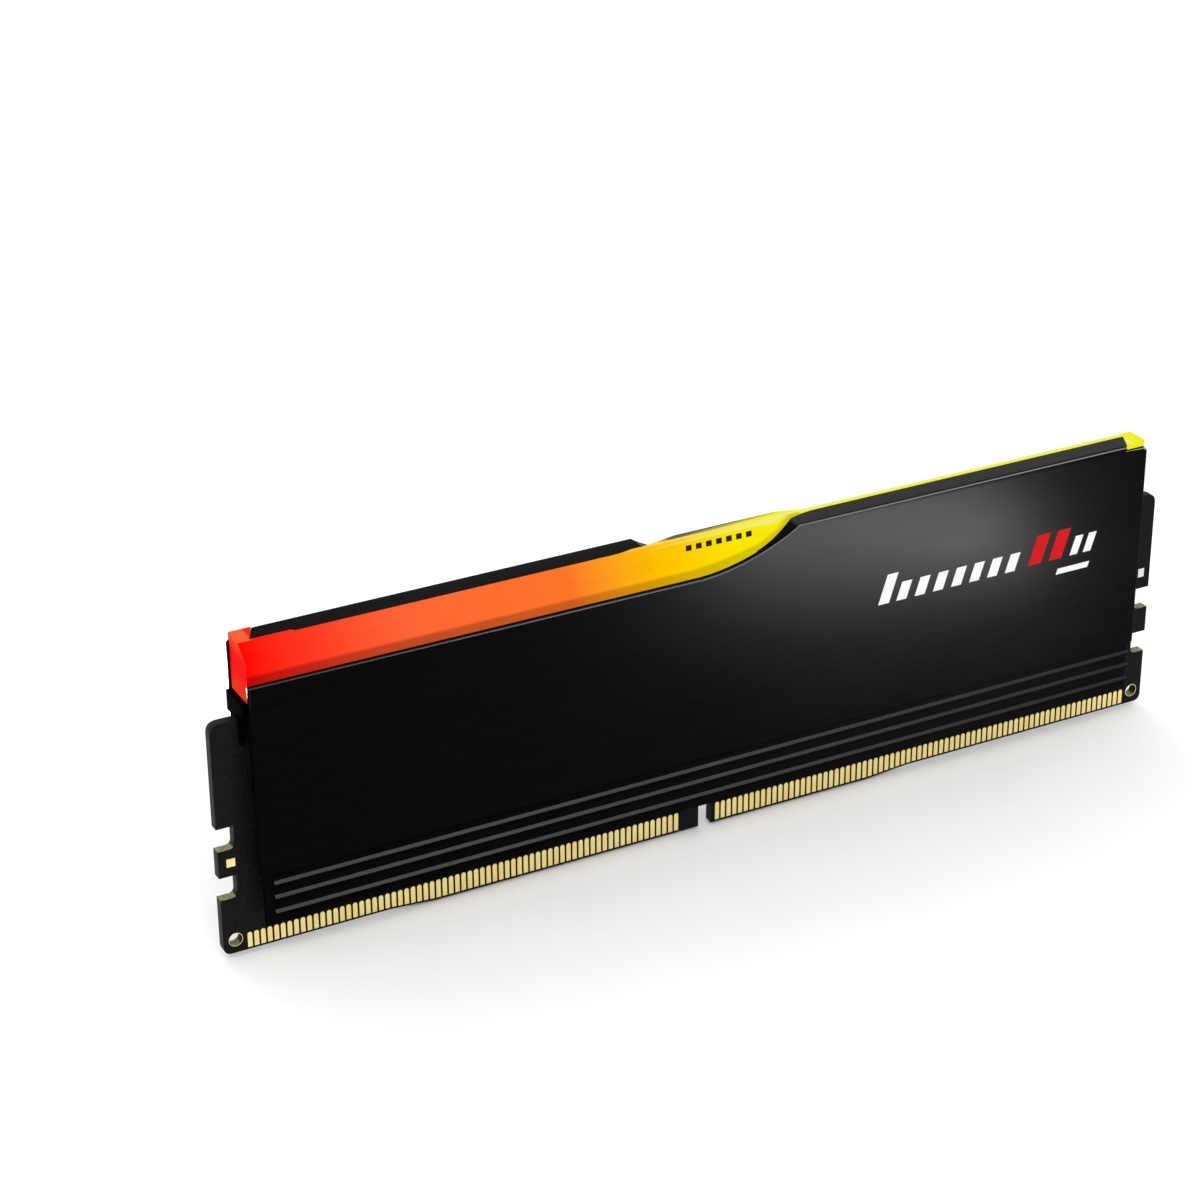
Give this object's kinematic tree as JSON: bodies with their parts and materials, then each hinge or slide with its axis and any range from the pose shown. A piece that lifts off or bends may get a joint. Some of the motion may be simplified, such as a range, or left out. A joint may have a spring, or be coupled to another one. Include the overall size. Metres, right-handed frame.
{
  "type": "ram module",
  "caption": "Desktop DDR5 memory module with folded black heat spreaders and a faceted light bar along its top edge, keyed gold contact edge below.",
  "frame": {"origin": "middle of the board, at the lowest part of its contact edge, where the socket holds it", "axes": "+X along the module with the contact key left of the middle in the front view, -Y out of the front heat spreader, +Z out of the socket"},
  "size_m": [0.1334, 0.0066, 0.0406],
  "materials": {
    "solder_mask": "fine matte solder mask over glass-fibre laminate",
    "contact_gold": "hard gold plating",
    "chip_plastic": "moulded epoxy",
    "black_plastic": "moulded, fine grain",
    "light_diffuser": "translucent, lit from inside, red at one end to yellow at the other",
    "spreader_aluminium": "satin black anodised",
    "thermal_pad": "soft silicone",
    "led_lens": "clear epoxy over a white cup",
    "ferrite": "pressed ferrite",
    "capacitor_ceramic": "fired ceramic"
  },
  "bodies": {
    "root": {"pcb": "solder_mask", "contacts_front_left": "contact_gold", "contacts_front_right": "contact_gold", "contacts_back_left": "contact_gold", "contacts_back_right": "contact_gold", "power_chip": "chip_plastic", "spd_hub": "chip_plastic", "light_driver": "chip_plastic", "light_carrier": "black_plastic", "light_bar": "light_diffuser", "heat_spreader_front": "spreader_aluminium", "heat_spreader_back": "spreader_aluminium", "thermal_pad_front_left": "thermal_pad", "thermal_pad_front_right": "thermal_pad", "thermal_pad_power": "thermal_pad", "thermal_pad_back": "thermal_pad", "dram_chip_1": "chip_plastic", "led_1": "led_lens", "dram_chip_2": "chip_plastic", "led_2": "led_lens", "dram_chip_3": "chip_plastic", "led_3": "led_lens", "dram_chip_4": "chip_plastic", "led_4": "led_lens", "dram_chip_5": "chip_plastic", "led_5": "led_lens", "dram_chip_6": "chip_plastic", "led_6": "led_lens", "dram_chip_7": "chip_plastic", "led_7": "led_lens", "dram_chip_8": "chip_plastic", "led_8": "led_lens", "power_inductor_1": "ferrite", "power_inductor_2": "ferrite", "power_inductor_3": "ferrite", "capacitor_1": "capacitor_ceramic", "capacitor_2": "capacitor_ceramic", "capacitor_3": "capacitor_ceramic", "capacitor_4": "capacitor_ceramic"}
  },
  "joints": []
}
